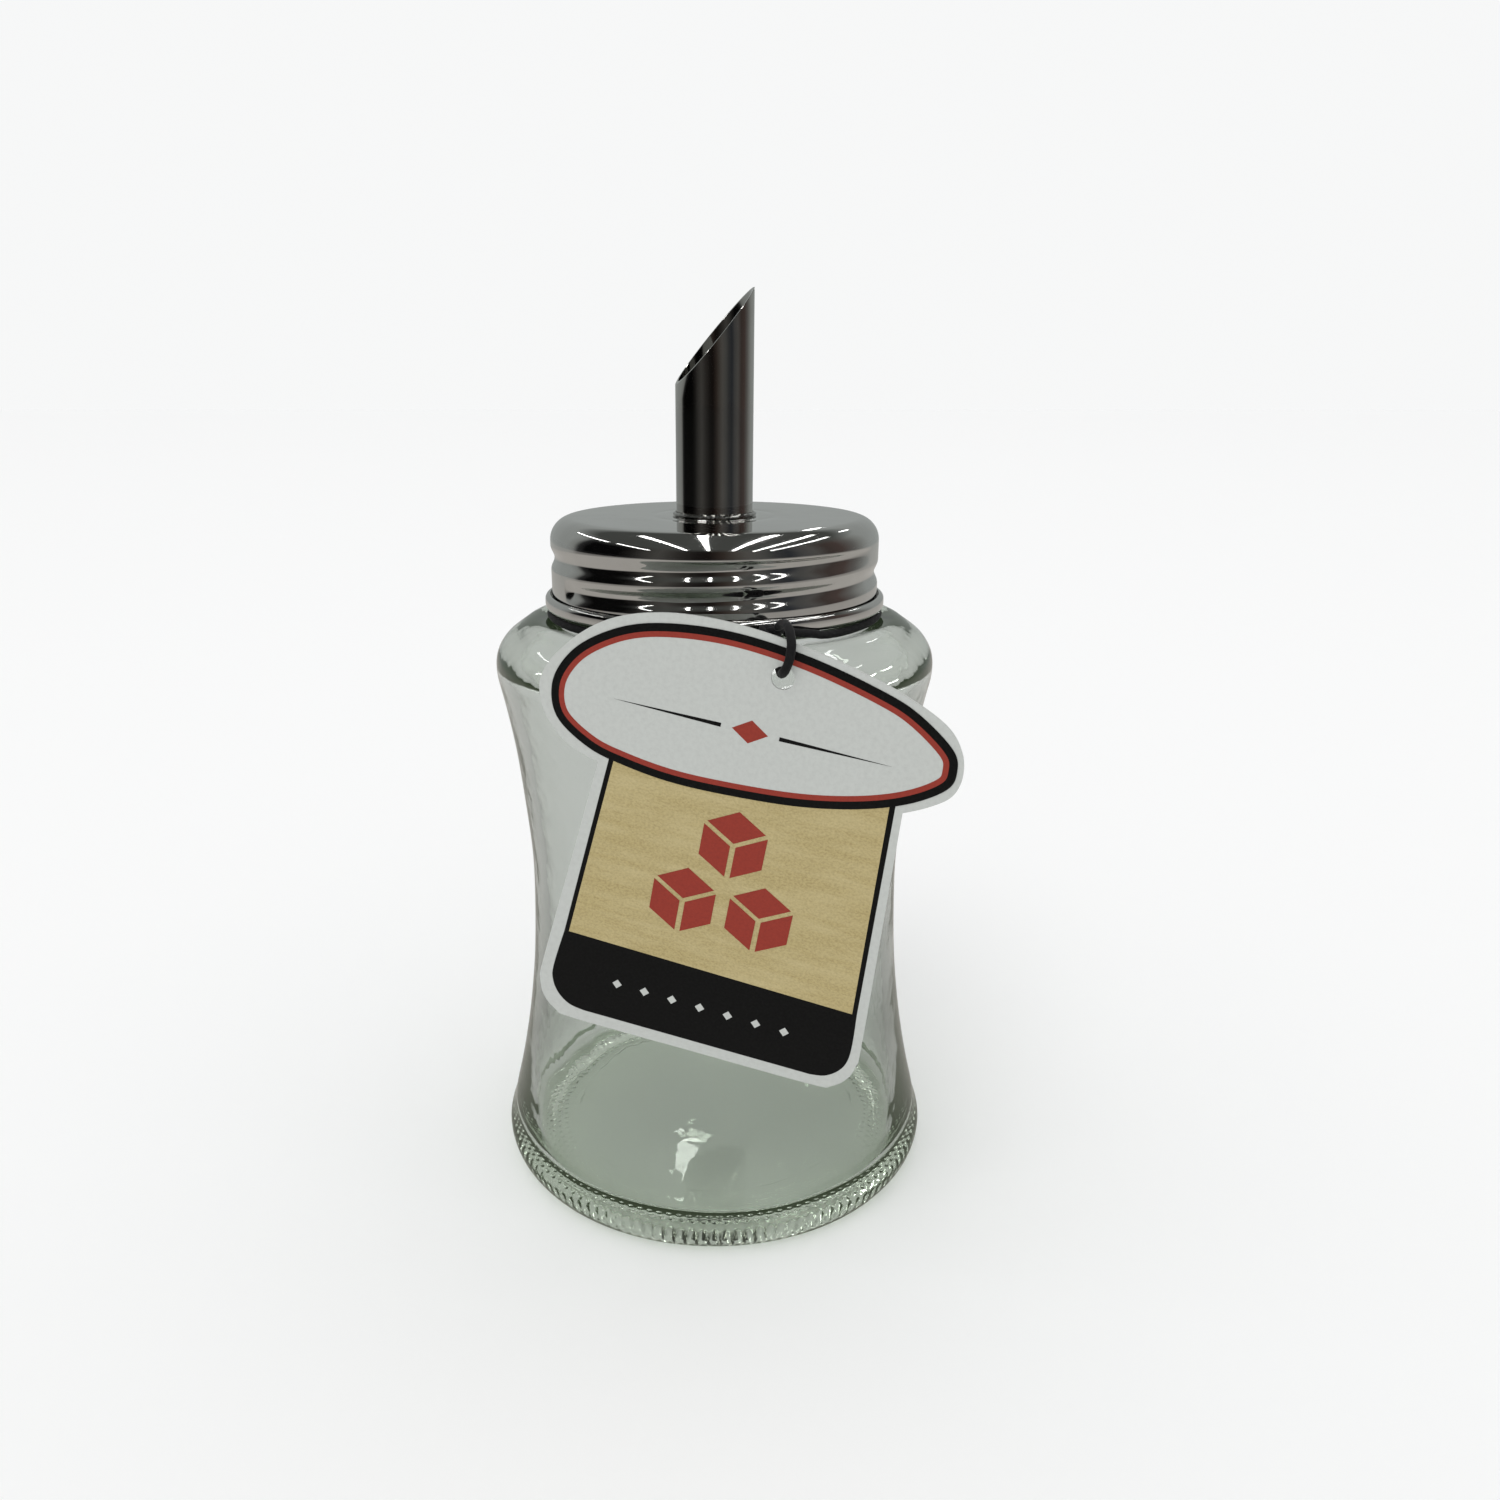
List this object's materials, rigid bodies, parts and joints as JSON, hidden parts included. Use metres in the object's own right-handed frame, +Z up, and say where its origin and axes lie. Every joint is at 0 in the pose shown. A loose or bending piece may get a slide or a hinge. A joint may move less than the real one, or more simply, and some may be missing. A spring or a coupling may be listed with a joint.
{
  "type": "sugar dispenser",
  "caption": "Waisted glass sugar jar with a screw lid, an upright pour tube with a slanted mouth, and a card tag hanging from an elastic loop round the neck.",
  "frame": {"origin": "centre of the ring that the jar stands on, on the plane of the table", "axes": "+Z up along the jar's axis, -Y towards the viewer of the picture, the pour tube's mouth facing -X"},
  "size_m": [0.077, 0.0847, 0.1493],
  "materials": {
    "soda_glass": "clear, faintly green where it is thick",
    "lid_steel": "polished sheet",
    "gasket_rubber": "matte off-white",
    "tube_steel": "polished tube",
    "bead_steel": "bright",
    "ferrule_steel": "plain",
    "neck_elastic": "woven elastic, matte black",
    "knot_elastic": "woven elastic, matte black",
    "tag_elastic": "woven elastic, matte black",
    "tag_board": "printed card, satin"
  },
  "bodies": {
    "jar": {"glass_jar": "soda_glass"},
    "lid_off": {"lid_gasket": "gasket_rubber"},
    "lid_carrier": {"tube_ferrule": "ferrule_steel"},
    "lid": {"screw_lid": "lid_steel", "pour_tube": "tube_steel", "tube_bead": "bead_steel"},
    "neck_cord": {"neck_loop": "neck_elastic", "cord_knot": "knot_elastic"},
    "tag_cord": {"tag_loop": "tag_elastic"},
    "tag": {"hang_tag": "tag_board"}
  },
  "joints": [
    {"name": "lid_lift", "type": "slide", "parent": "jar", "child": "lid_off", "axis": [0, 0, 1], "range_m": [0, 0.11]},
    {"name": "lid_rise", "type": "slide", "parent": "lid_off", "child": "lid_carrier", "axis": [0, 0, 1], "range_m": [0, 0.00612]},
    {"name": "lid_turn", "type": "hinge", "parent": "lid_carrier", "child": "lid", "pos_m": [0, 0, 0.107], "axis": [0, 0, 1], "range_deg": [0, 520]},
    {"name": "neck_turn", "type": "hinge", "parent": "jar", "child": "neck_cord", "pos_m": [0, 0, 0.09875], "axis": [0, 0, 1], "continuous": true},
    {"name": "tag_swing", "type": "hinge", "parent": "neck_cord", "child": "tag_cord", "pos_m": [0.00812, -0.02929, 0.1007], "axis": [-0.9636, -0.2672, 0], "range_deg": [0, 75]},
    {"name": "tag_turn", "type": "hinge", "parent": "tag_cord", "child": "tag", "pos_m": [0.00934, -0.04029, 0.0968], "axis": [-0.2317, -0.9728, 0], "range_deg": [-17, 17]}
  ],
  "couplings": [
    {"joint": "lid_rise", "follows": "lid_turn", "m_per_rad": 0.00067322}
  ]
}
